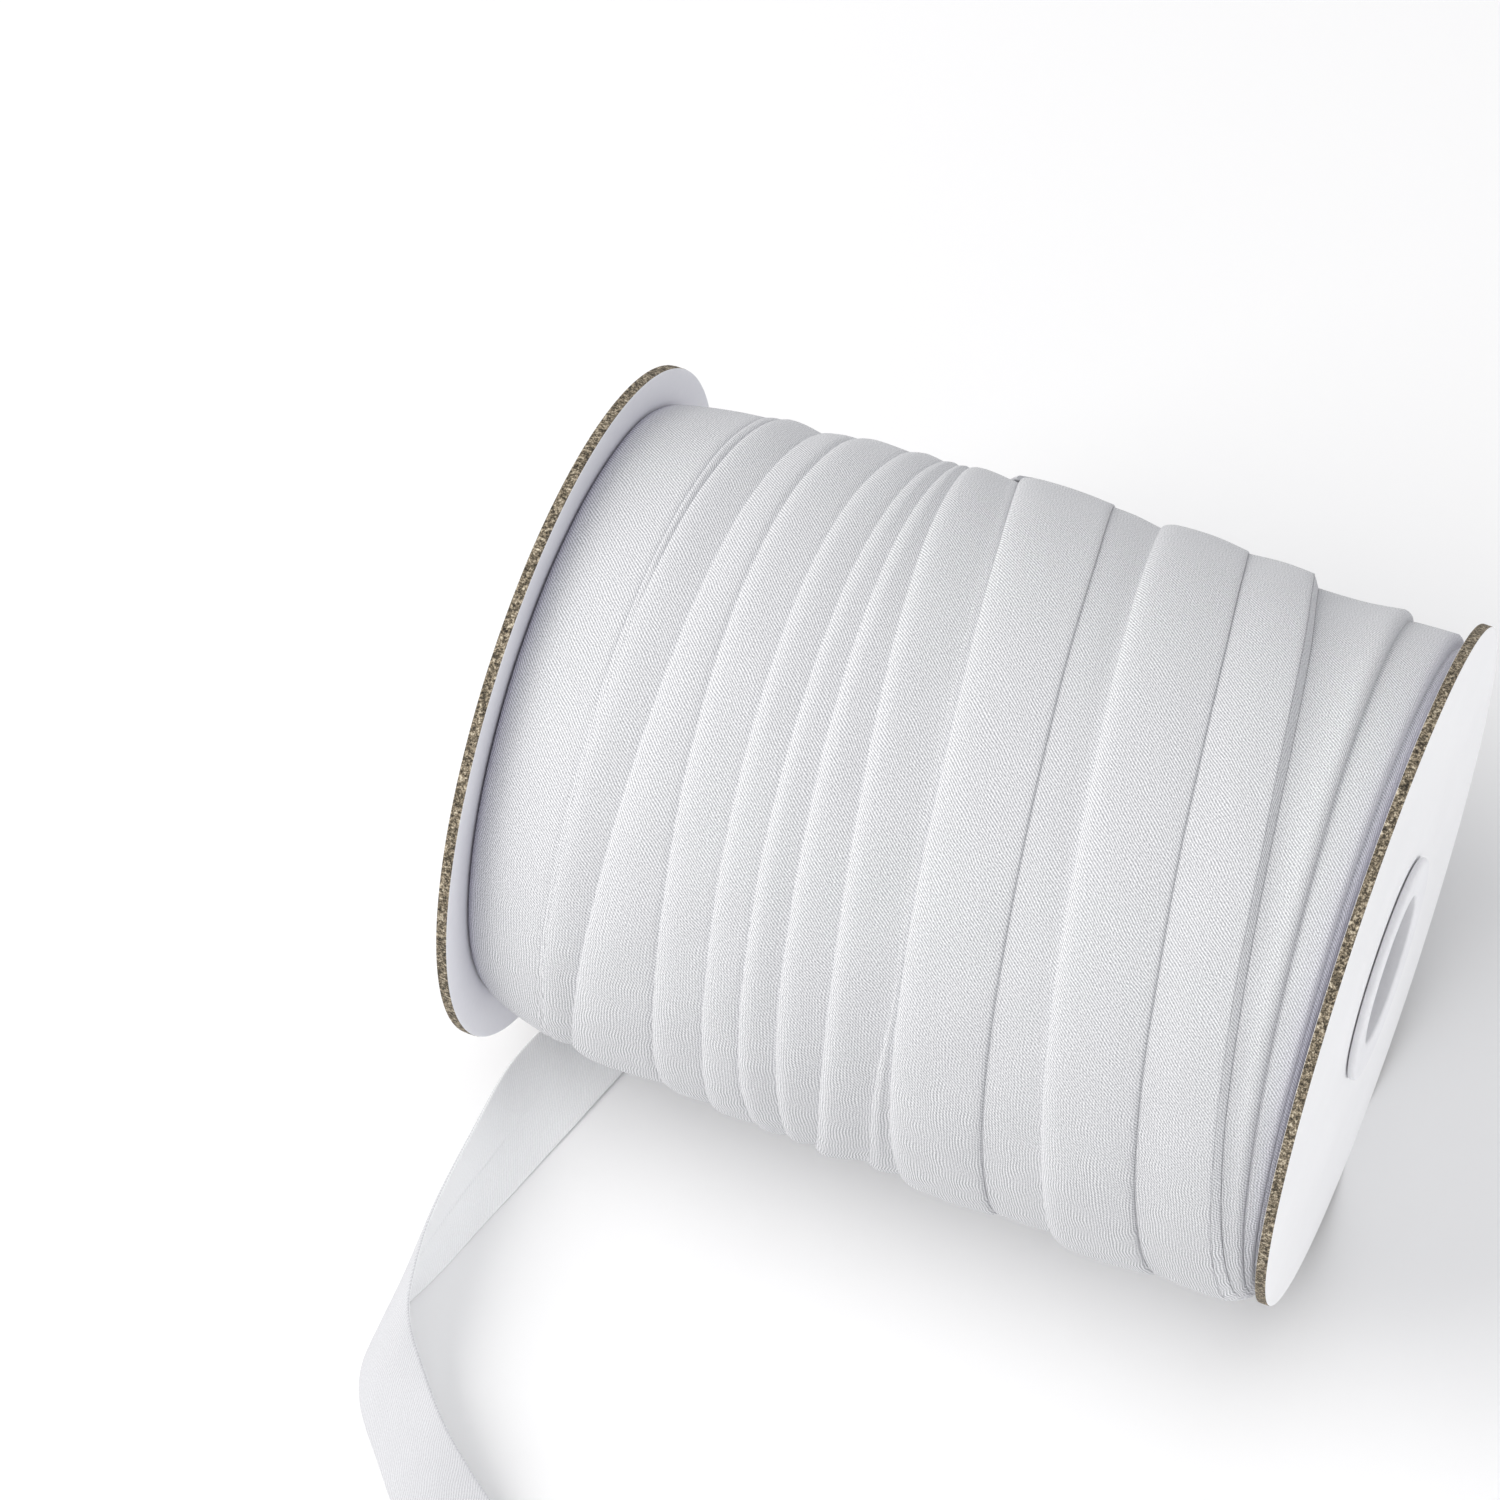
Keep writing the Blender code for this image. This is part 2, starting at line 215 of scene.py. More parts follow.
def grid_mesh(name, points, loop_rows=False, loop_columns=False, maps=None):
    """A mesh from a (rows, columns, 3) array in millimetres. Each map gives u and v at both
    ends of every stretch between two columns, as arrays of (rows + 1, stretches)."""
    rows, columns = points.shape[:2]
    last_row = rows if loop_rows else rows - 1
    last_column = columns if loop_columns else columns - 1
    i, j = np.meshgrid(np.arange(last_row), np.arange(last_column), indexing="ij")
    here, ahead = i * columns, (i + 1) % rows * columns
    k = (j + 1) % columns
    faces = np.stack([here + j, here + k, ahead + k, ahead + j], -1).reshape(-1, 4)
    mesh = bpy.data.meshes.new(name)
    mesh.from_pydata((points.reshape(-1, 3) * MM).tolist(), [], faces.tolist())
    for label, (near, far) in (maps or {}).items():
        layer = mesh.uv_layers.new(name=label)
        corners = np.stack([near[i, j], far[i, j], far[i + 1, j], near[i + 1, j]], 2)
        layer.data.foreach_set("uv", corners.astype(np.float32).ravel())
    mesh.update()
    mesh.shade_smooth()
    return mesh


def choose_covers(mesh, columns, choice):
    """Gives each face the material that choice names for its column."""
    for polygon in mesh.polygons:
        polygon.material_index = int(choice(polygon.index % columns))


def add_piece(name, mesh, covers, node):
    """Adds a mesh as a piece of the roll, in place of a node of the solids if one is named."""
    piece = bpy.data.objects.new(name, mesh)
    for cover in covers:
        mesh.materials.append(cover)
    bpy.context.scene.collection.objects.link(piece)
    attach(piece, "root")
    if node:
        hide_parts(node)
    return piece


# Winding
# A wrap's edge, from the wrap below up onto the fold: distance in millimetres from the edge,
# share of the drop into the crease and share of the rise onto the fold
EDGE_SHAPE = (
    (-0.90, 0.00, 0.00),
    (-0.45, 0.35, 0.00),
    (-0.15, 0.85, 0.00),
    (-0.03, 1.00, 0.00),
    (0.00, 1.00, 0.30),
    (0.06, 1.00, 0.50),
    (0.20, 1.00, 0.66),
    (0.45, 1.00, 0.80),
    (0.85, 1.00, 0.91),
    (1.40, 1.00, 1.00),
)
LOWER_POINTS = 4
# How far the wraps whose right edge lies on top roll over there, low in front and high behind
RIGHT_ROUNDING = {10: (0.5, 0.08), 12: (0.6, 0.08), 13: (0.7, 0.25), 14: (0.4, 0.25)}
OTHER_ROUNDING = (0.8, 0.8)
# Creases are deeper behind, and low on the front where the left side lies on top.
CREASE_BEHIND = 0.12
BEHIND = (85, 125)
LOW_CREASES = 3.0
LOW_FRONT = (-15, 45)
# An edge that fades in ends behind, and one that fades out comes back below.
ENDS_BEHIND = (165, 190)
BACK_BELOW = (255, 269)
# A wrap rounds up from its folded left edge by this much, over this run.
PUFF_RISE = 0.80
PUFF_RISE_LOW = 0.25
PUFF_RUN = 1.6
FULL_WRAP = 5.0
# The wraps at the right, from this edge on, lie too close to wander much.
CROWDED_FROM = 14
EDGE_WANDER = 0.10
CROWDED_WANDER = 0.03
HEIGHT_WANDER = 0.05
EDGE_SEED = 40
HEIGHT_SEED = 80
LEFT_END_SEED = 7
RIGHT_END_SEED = 8
WEAVE_SEED = 5
# The full wrap in the middle sinks behind, where the last turn comes out from under it.
SUNK_STRIP = 10
SUNK_BY = 0.55
SINKS = (155, 172)
RISES = (250, 266)


def edge_presence(angles, fade):
    """One where a wrap's edge shows, none where it has faded into its neighbour."""
    if fade is None:
        return np.ones_like(angles)
    start, end = fade
    seen = unrolled(angles)
    if start < end:
        return smooth_step(seen, start, end) * (1 - smooth_step(seen, *ENDS_BEHIND))
    return 1 - smooth_step(seen, end, start) + smooth_step(seen, *BACK_BELOW)


def low_share(angles):
    """One at the bottom of the front, none from halfway up it."""
    return 1 - smooth_step(unrolled(angles), *LOW_FRONT)


def round_blend(angles, front, back):
    """From the value low on the front to the value high on the back, and round again."""
    share = 0.5 - 0.5 * np.cos(np.radians(angles - FRONT_ANGLE))
    return front + (back - front) * share


def sagged(along, radius, angles):
    """The radius of the winding, let down to the table near its lowest line."""
    from_lowest = np.abs((angles + 270.0) % 360.0 - 180.0)
    start, full, still_full, end = SAG_PLACES
    share = 1.0 - smooth_step(from_lowest, *SAG_ANGLES)
    share = share * smooth_step(along, start, full) * (1 - smooth_step(along, still_full, end))
    return radius + share * np.maximum(SAG_RADIUS - radius, 0.0)


def edge_places(angles):
    """Where each wrap edge lies along X, carried on evenly round the hidden side."""
    knots = EDGE_ANGLES + HIDDEN_ANGLES
    places = []
    for number, row in enumerate(WRAP_EDGES):
        shown = row[2]
        behind = float(np.clip(shown[-1] - shown[-2], -RUN_BACK, RUN_ON))
        below = float(np.clip(shown[0] - shown[1], -RUN_ON, RUN_ON))
        start = shown[-1] + 1.4 * behind
        finish = shown[0] + 1.2 * below
        hidden = [shown[-1] + 0.9 * behind, start, start + (finish - start) / 3,
                  start + (finish - start) * 2 / 3, finish, shown[0] + 0.8 * below]
        place = curve_through(knots, list(shown) + hidden, angles, 360.0)
        room = EDGE_WANDER if number < CROWDED_FROM else CROWDED_WANDER
        places.append(place + room * wander(angles, EDGE_SEED + number))
    return np.array(places)


def edge_profile(number, angles, place, room):
    """One wrap edge from left to right, as pairs of x and radius for every angle."""
    side, crease, _, front, back, fade = WRAP_EDGES[number]
    presence = edge_presence(angles, fade)
    uneven = HEIGHT_WANDER * wander(angles, HEIGHT_SEED + number)
    left = round_blend(angles, front[0], back[0]) + uneven
    right = round_blend(angles, front[1], back[1]) + uneven
    middle = (left + right) / 2
    left = middle + (left - middle) * presence
    right = middle + (right - middle) * presence
    low, high = (left, right) if side > 0 else (right, left)
    depth = crease + CREASE_BEHIND * smooth_step(unrolled(angles), *BEHIND)
    scale = np.clip(room / 3.0, 0.1, 1.0)
    if side < 0:
        depth = depth + LOW_CREASES * crease * low_share(angles)
        scale = scale * round_blend(angles, *RIGHT_ROUNDING.get(number, OTHER_ROUNDING))
    base = np.minimum(left, right) - depth * presence
    made = []
    for across, drop, rise in EDGE_SHAPE[::side]:
        radius = low + (base - low) * drop + (high - base) * rise
        made.append((place + across * scale * side, radius))
    return made


def winding_columns(angles):
    """The winding's surface from left to right: x, radius and number of the strip."""
    left_radius = round_blend(angles, *LEFT_END_RADII) + 0.25 * wander(angles, LEFT_END_SEED)
    right_radius = round_blend(angles, *RIGHT_END_RADII) + 0.2 * wander(angles, RIGHT_END_SEED)
    y = -left_radius * np.cos(np.radians(angles))
    z = AXIS_HEIGHT + left_radius * np.sin(np.radians(angles))
    left_x = -WINDING_END + lean(y, z)
    right_x = np.full_like(angles, WINDING_END)
    places = edge_places(angles)
    bounds = np.vstack([left_x, places, right_x])
    gaps = np.diff(bounds, axis=0)

    columns = [(left_x, left_radius, 0)]
    before = (left_x, left_radius)
    for number, row in enumerate(WRAP_EDGES):
        room = np.minimum(gaps[number], gaps[number + 1])
        made = edge_profile(number, angles, places[number], room)
        turn_at = LOWER_POINTS if row[0] > 0 else len(made) - LOWER_POINTS
        add_strip(columns, number, before, made[0])
        for count, (x, radius) in enumerate(made):
            columns.append((x, radius, number + (count >= turn_at)))
        before = made[-1]
    add_strip(columns, len(WRAP_EDGES), before, (right_x, right_radius))
    columns.append((right_x, right_radius, len(WRAP_EDGES)))
    return puffed(columns, bounds, angles)


def add_strip(columns, number, start, finish):
    """Adds the columns of one strip, between the edges on its left and right."""
    crest_at, rise, count = STRIPS[number]
    power = math.log(0.5) / math.log(crest_at)
    width = finish[0] - start[0]
    rise = rise * np.clip(width / FULL_WRAP, 0.1, 1.2)
    for t in np.arange(1, count + 1) / (count + 1):
        # The first and last strips fall away to the discs.
        run = t**0.75 if number == 0 else t
        if number == len(WRAP_EDGES):
            run = t**2
        bump = math.sin(math.pi * t**power)
        radius = start[1] + (finish[1] - start[1]) * run + rise * bump
        columns.append((start[0] + width * t, radius, number))


def puffed(columns, bounds, angles):
    """Rounds each wrap up from its folded left edge, where that lies on top."""
    rounded = []
    for x, radius, number in columns:
        if number > 0 and WRAP_EDGES[number - 1][0] > 0:
            width = bounds[number + 1] - bounds[number]
            run = np.clip(x - bounds[number], 0.0, None)
            rise = PUFF_RISE + PUFF_RISE_LOW * low_share(angles)
            rise = rise * np.clip(width / FULL_WRAP, 0.1, 1.0)
            # The first two wraps are round even where their edges have faded.
            if number > 2:
                rise = rise * edge_presence(angles, WRAP_EDGES[number - 1][5])
            full = 1 - np.exp(-width / PUFF_RUN)
            radius = radius + rise * (1 - np.exp(-run / PUFF_RUN) - run / width * full)
        rounded.append((x, radius, number))
    return rounded


def unevenness(x, angles):
    """Soft hollows and swellings of the wound cloth."""
    turn = np.radians(angles)
    first = np.sin(x / 1.7 + 1.2 * np.sin(5 * turn)) * np.sin(11 * turn + x / 9)
    second = np.sin(x / 3.1 - 17 * turn + 0.8 * np.sin(3 * turn))
    return 0.035 * first + 0.03 * second


def spread(table, reach, combine):
    """Each value combined with its neighbours along its row, as far as reach."""
    padded = np.pad(table, ((0, 0), (reach, reach)), mode="edge")
    width = table.shape[1]
    return combine([padded[:, k : k + width] for k in range(2 * reach + 1)], axis=0)


def ground_under_last_turn(angles, columns):
    """Places along X, and for each angle the winding's smoothed radius at them."""
    x = np.array([c[0] for c in columns])
    radius = np.array([c[1] for c in columns])
    line = np.linspace(-52.0, 20.0, 145)
    table = np.empty((len(angles), len(line)))
    for i in range(len(angles)):
        order = np.argsort(x[:, i])
        table[i] = np.interp(line, x[order, i], radius[order, i])
    return line, spread(spread(table, 4, np.max), 6, np.mean)


def make_winding(cover, ends, angles, columns):
    """The wound wraps, with dark cloth painted as shade on the ends that face the discs."""
    seen = unrolled(angles)
    sunk = SUNK_BY * (smooth_step(seen, *SINKS) * (1 - smooth_step(seen, *RISES)))
    rad = np.radians(angles)
    points = np.empty((ANGLE_STEPS, len(columns) + 2, 3))
    strips = []
    for j, (x, radius, strip) in enumerate(columns):
        radius = sagged(x, radius + unevenness(x, angles), angles)
        if strip == SUNK_STRIP:
            radius = radius - sunk
        points[:, j + 1, 0] = x
        points[:, j + 1, 1] = -radius * np.cos(rad)
        points[:, j + 1, 2] = AXIS_HEIGHT + radius * np.sin(rad)
        strips.append(strip)
    inner_y = -HOLE_RADIUS * np.cos(rad)
    inner_z = AXIS_HEIGHT + HOLE_RADIUS * np.sin(rad)
    points[:, 0] = np.stack([-WINDING_END + lean(inner_y, inner_z), inner_y, inner_z], 1)
    points[:, -1] = np.stack([np.full_like(rad, WINDING_END), inner_y, inner_z], 1)
    points[:, :, 2] = np.maximum(points[:, :, 2], LOWEST_WRAPS)
    mesh = grid_mesh("wound_wraps", points, True, True, winding_maps(points, strips))
    count = points.shape[1]
    # Painted shade: the end faces beside the discs and the inside against the tube take the dark
    # cloth.
    choose_covers(mesh, count, lambda j: j in (0, count - 2, count - 1))
    add_piece("wound_wraps", mesh, [cover, ends], "wound_tape")


def winding_maps(points, strips):
    """The cloth's own measure across and along each strip, the share of painted shade beside the
    discs, and how low a point lies on the front."""
    rows, columns = points.shape[:2]
    ahead = np.roll(points, -1, axis=1)
    step = np.linalg.norm(ahead - points, axis=2)
    across = np.zeros((rows, columns))
    for j in range(2, columns - 1):
        if strips[j - 1] == strips[j - 2]:
            across[:, j] = across[:, j - 1] + step[:, j - 1]
    shifts = np.random.default_rng(WEAVE_SEED).uniform(0, 40, len(WRAP_EDGES) + 1)
    shift = np.array([0.0] + [shifts[s] for s in strips] + [0.0])
    along = np.arange(rows + 1)[:, None] * (2 * math.pi * MEAN_RADIUS / rows) + shift
    across = across + shift
    near_u = np.vstack([across, across[:1]])
    step = np.vstack([step, step[:1]])
    near = np.stack([near_u, along], 2)
    far = np.stack([near_u + step, along], 2)
    x = points[:, :, 0]
    left = np.abs(x - x[:, 1:2])
    right = np.abs(x[:, -2:-1] - x)
    turn = 360.0 * np.arange(rows)[:, None] / rows - 90.0
    # Painted shade: the cloth darkens to lavender grey within a millimetre or two of each disc,
    # less at the right end low on the front.
    disc_shade = np.exp(-left / 1.0) + np.exp(-right / 1.5) * (1.0 - 0.75 * low_share(turn))
    disc_shade = np.vstack([disc_shade, disc_shade[:1]])
    low = np.vstack([low_share(turn), low_share(turn[:1])]) * np.ones_like(disc_shade)
    place = np.stack([disc_shade, low], 2)
    return {"cloth": (near, far), "place": (place, np.roll(place, -1, axis=1))}


# Folded tape in section: points on its face, turns of its folded edges in degrees, and the
# slit in the middle of its back, as places across and shares of its depth
FACE_POINTS = 15
EDGE_TURNS = (22, 45, 68, 90, 112, 135, 158)
BACK_POINTS = 6
SLIT = ((0.42, 0.0), (0.27, 0.25), (0.2, 0.8), (-0.02, 0.8), (-0.1, 0.25), (-0.25, 0.0))
SLIT_EDGES = (0.9, -0.8)
SLIT_OPENS = (34, 56)


def ribbon_section(slit):
    """Closed outline of the folded tape, as (across, out) pairs: face out, back in."""
    half = TAPE_WIDTH / 2
    thick = FREE_THICKNESS / 2
    edge = 1.2 * thick
    inner = half - edge
    face = [(w, thick) for w in np.linspace(-inner, inner, FACE_POINTS)]
    right = [(half - edge * (1 - math.sin(a)), thick * math.cos(a))
             for a in np.radians(EDGE_TURNS)]
    back = [(w, -thick) for w in np.linspace(inner, SLIT_EDGES[0], BACK_POINTS)]
    back += [(place, thick * (depth * slit - 1.0)) for place, depth in SLIT]
    back += [(w, -thick) for w in np.linspace(SLIT_EDGES[1], -inner, BACK_POINTS)]
    left = [(-x, y) for x, y in right[::-1]]
    return np.array(face + right + back + left)


def ribbon_maps(section, rows, pitch, shift):
    """The cloth's own measure across and along a ribbon, with a shift of its own."""
    across = np.tile(section[:, 0] + shift, (rows + 1, 1))
    along = np.tile(np.arange(rows + 1)[:, None] * pitch, (1, len(section)))
    near = np.stack([across, along], 2)
    far = np.stack([np.roll(across, -1, axis=1), along], 2)
    return {"cloth": (near, far), "place": (near * 0.0, far * 0.0)}


def make_last_turn(cover, angles, columns):
    """The last turn, which crosses the rings on the back on its way to the free end."""
    line, ground = ground_under_last_turn(angles, columns)
    knots, places = zip(*LAST_TURN)
    turn = np.arange(knots[0], knots[-1] + 0.1, LAST_TURN_STEP)
    middle = curve_through(knots, places, turn)
    slope = np.gradient(middle, np.radians(turn) * MEAN_RADIUS)
    section = ribbon_section(0.0)
    points = np.empty((len(turn), len(section), 3))
    for i, angle in enumerate(turn):
        row = int(np.argmin(np.abs(unrolled(angles) - angle)))
        cosine = 1 / math.hypot(1, slope[i])
        x = middle[i] + section[:, 0] * cosine
        along = -section[:, 0] * slope[i] * cosine
        lift = -COVERED_BY + (COVERED_BY + PROUD_BY) * float(smooth_step(angle, *COMES_OUT))
        leaving = float(smooth_step(angle, *LEAVES))
        base = np.interp(x, line, ground[row]) * (1 - leaving)
        base = base + (LIFT_OFF_RADIUS - FREE_THICKNESS / 2 - LAST_TURN_GAP) * leaving
        base = base + lift * (1 - leaving) + LAST_TURN_GAP
        out = base + FREE_THICKNESS / 2 + section[:, 1]
        round_at = math.radians(angle) + along / MEAN_RADIUS
        points[i, :, 0] = x
        points[i, :, 1] = -out * np.cos(round_at)
        points[i, :, 2] = AXIS_HEIGHT + out * np.sin(round_at)
    points[:, :, 2] = np.maximum(points[:, :, 2], LOWEST_TAPE)

    maps = ribbon_maps(section[::-1], len(turn), LAST_TURN_ROWS_APART, 90.0)
    mesh = grid_mesh("last_turn", points[:, ::-1], False, True, maps)
    close_ends(mesh, len(section), len(turn))
    piece = add_piece("last_turn", mesh, [cover], None)


def close_ends(mesh, columns, rows):
    """Closes both ends of a ribbon with a flat face."""
    made = bmesh.new()
    made.from_mesh(mesh)
    made.verts.ensure_lookup_table()
    first = [made.verts[j] for j in range(columns)]
    last = [made.verts[(rows - 1) * columns + j] for j in range(columns)]
    made.faces.new(first[::-1])
    made.faces.new(last)
    bmesh.ops.recalc_face_normals(made, faces=made.faces)
    made.to_mesh(mesh)
    made.free()


# Free end
def running_sum(rates):
    """The sum of the rates up to each point, from none at the first."""
    return np.concatenate([[0.0], np.cumsum(rates)])


def make_free_end(face, back):
    """The free end, laid along its stations, each row tilted and bent across."""
    stations = np.array(FREE_STATIONS)
    length = np.arange(0.0, stations[-1, 0] + 0.01, 1.0)
    heading, tilt, bend = (np.radians(curve_through(stations[:, 0], stations[:, k], length))
                           for k in (1, 2, 3))
    course = (heading[1:] + heading[:-1]) / 2
    x = FREE_START[0] + running_sum(np.sin(course)) * length[1]
    y = FREE_START[1] - running_sum(np.cos(course)) * length[1]
    steps = 96
    fine = np.linspace(-0.5, 0.5, steps + 1)
    section = ribbon_section(0.0)
    points = np.empty((len(length), len(section), 3))
    for i in range(len(length)):
        section = ribbon_section(SLIT_DEPTH * float(smooth_step(length[i], *SLIT_OPENS)))
        slope = tilt[i] - bend[i] * fine
        middle = (slope[1:] + slope[:-1]) / 2
        side = running_sum(np.cos(middle)) * TAPE_WIDTH / steps
        rise = running_sum(np.sin(middle)) * TAPE_WIDTH / steps
        side -= side[steps // 2]
        # Across runs from the right edge to the left one; the back faces up at a tilt of 180.
        share = section[:, 0] / TAPE_WIDTH
        here_slope = np.interp(share, fine, slope)
        across = np.interp(share, fine, side) - np.sin(here_slope) * section[:, 1]
        up = np.interp(share, fine, rise) + np.cos(here_slope) * section[:, 1]
        points[i, :, 0] = x[i] + across * math.cos(heading[i])
        points[i, :, 1] = y[i] + across * math.sin(heading[i])
        points[i, :, 2] = up - up.min() + underside(y[i], length[i])

    maps = ribbon_maps(section, len(length), 1.0, 30.0)
    mesh = grid_mesh("loose_tape", points, False, True, maps)
    close_ends(mesh, len(section), len(length))
    half_edge = len(EDGE_TURNS) // 2
    back_columns = range(FACE_POINTS + half_edge, len(section) - half_edge - 1)
    # Painted light and shade: the back columns take the brighter cloth, the face the darker one.
    choose_covers(mesh, len(section), lambda j: j in back_columns)
    piece = add_piece("loose_tape", mesh, [face, back], "free_end")


def underside(y, length):
    """The height of the free end's lowest line: on the winding at first, then on the table."""
    if length >= LIFT_OFF_RUN:
        return LOWEST_TAPE
    under = AXIS_HEIGHT - math.sqrt(LIFT_OFF_RADIUS**2 - y**2) - FREE_THICKNESS / 2
    return LOWEST_TAPE + under * (1.0 - float(smooth_step(length, 0.0, LIFT_OFF_RUN)))


# Spool
# A disc in section: its faces run in to a slightly rounded corner, and its cut rim is rough.
CORNER = ((0.6, 0.0), (0.16, 0.0), (0.05, 0.05))
RIM_POINTS = 8
RIM_STARTS = 0.14
RIM_ROUGHNESS = 0.045
DISC_STEPS = 360
# The tube's lip: its rounded outer edge, its flat crown, and the turn into the bore
LIP_EDGE = 0.54
LIP_CROWN = ((13.6, 0.02), (12.6, 0.0), (11.4, -0.03), (10.6, -0.06))
BORE_TURN = 0.55
BORE_TURN_STARTS = 0.62
TUBE_WALLS = (INNER_FACE, 50.0, 47.0, LEAN_STARTS, 20.0)
TUBE_STEPS = 128
SHARP_EDGE = math.radians(60)


def make_disc(name, side, node, covers):
    """A card disc, with its outer face, rim and inner face in covers in that order."""
    angles = np.radians(np.arange(DISC_STEPS))
    near, far = INNER_FACE, OUTER_FACE
    profile = [(HOLE_RADIUS, far)]
    profile += [(DISC_RADIUS - inward, far - down) for inward, down in CORNER]
    rim_first = len(profile)
    profile += [(DISC_RADIUS, along)
                for along in np.linspace(far - RIM_STARTS, near + RIM_STARTS, RIM_POINTS)]
    rim_end = len(profile)
    profile += [(DISC_RADIUS - inward, near + down) for inward, down in CORNER[::-1]]
    profile.append((HOLE_RADIUS, near))
    columns = len(profile)
    rng = np.random.default_rng(20 + side)
    points = np.empty((DISC_STEPS, columns, 3))
    for j, (radius, along) in enumerate(profile):
        if rim_first <= j < rim_end:
            radius = radius - np.abs(rng.normal(0, RIM_ROUGHNESS, DISC_STEPS))
        y = -radius * np.cos(angles)
        z = np.maximum(AXIS_HEIGHT + radius * np.sin(angles), 0.0)
        x = np.full(DISC_STEPS, side * along)
        if side < 0:
            x = x + lean(y, z)
        points[:, j] = np.stack([x, y, z], 1)

    def cover_at(j):
        if side > 0:
            j = (columns - 2 - j) % columns
        return (j >= rim_first - 1) + (j >= rim_end)

    mesh = grid_mesh(name, points[:, ::-side], True, True)
    choose_covers(mesh, columns, cover_at)
    mesh.set_sharp_from_angle(angle=SHARP_EDGE)
    add_piece(name, mesh, covers, node)


def make_tube(cover):
    """The paper tube, its ends rolled out over the discs; it leans with the left disc."""
    under, top = OUTER_FACE + CLEARANCE * 0.4, OUTER_FACE + LIP_PROUD
    middle = (under + top) / 2
    right = [(TUBE_OUTER, under)]
    for angle in np.radians((-90, -60, -30, 0, 30, 60, 90)):
        right.append((LIP_RADIUS - LIP_EDGE + LIP_EDGE * math.cos(angle),
                      middle + (top - under) / 2 * math.sin(angle)))
    right += [(radius, top + rise) for radius, rise in LIP_CROWN]
    for angle in np.radians((65, 40, 15)):
        right.append((TUBE_INNER + BORE_TURN * (1 - math.cos(angle)),
                      top - BORE_TURN_STARTS + BORE_TURN * math.sin(angle)))
    left = [(radius, -along) for radius, along in reversed(right)]
    there = [-wall for wall in TUBE_WALLS]
    back_again = list(reversed(TUBE_WALLS))
    outer = [(TUBE_OUTER, along) for along in there + back_again]
    bore = [(TUBE_INNER, -along) for along in there + back_again]
    profile = left + outer + right + bore
    angles = 2 * math.pi * np.arange(TUBE_STEPS) / TUBE_STEPS
    points = np.empty((TUBE_STEPS, len(profile), 3))
    for j, (radius, along) in enumerate(profile):
        y = -radius * np.cos(angles)
        z = AXIS_HEIGHT + radius * np.sin(angles)
        share = smooth_step(-along, LEAN_STARTS, WINDING_END) if along < 0 else 0.0
        points[:, j] = np.stack([along + share * lean(y, z), y, z], 1)
    mesh = grid_mesh("rolled_tube", points, True, True)
    mesh.set_sharp_from_angle(angle=SHARP_EDGE)
    add_piece("rolled_tube", mesh, [cover], "core_tube")


# Materials
# The weave, in millimetres and in shares of its contrast; low means low on the front.
RIB_PITCH = 0.34
RIB_SHARE = 0.52
RIB_LOST_LOW = 0.3
CORD_PITCH = 0.39
CORD_SLANT = 0.04
CORD_SHARE = 0.15
CORD_GAINED_LOW = 0.85
DRIFT_SCALE = 0.35
THREAD_BEND = 0.7
FIBRE_SCALE = 4.2
FIBRE_SHARE = 1.9
# Painted shade: the lavender grey the cloth is darkened towards beside the discs, and how much of
# it
DISC_SHADE_TINT = (0.66, 0.64, 0.76)
DISC_SHADE_SHARE = 0.9


class Nodes:
    """Short calls for building one material."""

    def __init__(self, name, colour, roughness):
        self.material = bpy.data.materials.new(name)
        self.material.use_nodes = True
        self.tree = self.material.node_tree
        self.shader = self.tree.nodes["Principled BSDF"]
        self.shader.inputs["Base Color"].default_value = (*colour, 1.0)
        self.shader.inputs["Roughness"].default_value = roughness

    def node(self, kind, **settings):
        made = self.tree.nodes.new(kind)
        for key, value in settings.items():
            setattr(made, key, value)
        return made

    def link(self, start, end):
        self.tree.links.new(start, end)

    def math(self, operation, first, second=None, clamp=False):
        made = self.node("ShaderNodeMath", operation=operation, use_clamp=clamp)
        for socket, value in zip(made.inputs, (first, second)):
            if value is None:
                continue
            if hasattr(value, "node"):
                self.link(value, socket)
            else:
                socket.default_value = value
        return made.outputs[0]

    def noise(self, vector, scale, detail, rough=0.5):
        made = self.node("ShaderNodeTexNoise")
        self.link(vector, made.inputs["Vector"])
        made.inputs["Scale"].default_value = scale
        made.inputs["Detail"].default_value = detail
        made.inputs["Roughness"].default_value = rough
        return made.outputs[0]

    def ramp(self, value, stops):
        made = self.node("ShaderNodeValToRGB")
        points = made.color_ramp.elements
        while len(points) < len(stops):
            points.new(0.5)
        for point, (place, colour) in zip(points, stops):
            point.position = place
            point.color = (*colour, 1.0)
        self.link(value, made.inputs[0])
        return made.outputs[0]

    def bump(self, height, strength, distance):
        made = self.node("ShaderNodeBump")
        made.inputs["Strength"].default_value = strength
        made.inputs["Distance"].default_value = distance
        self.link(height, made.inputs["Height"])
        return made.outputs[0]


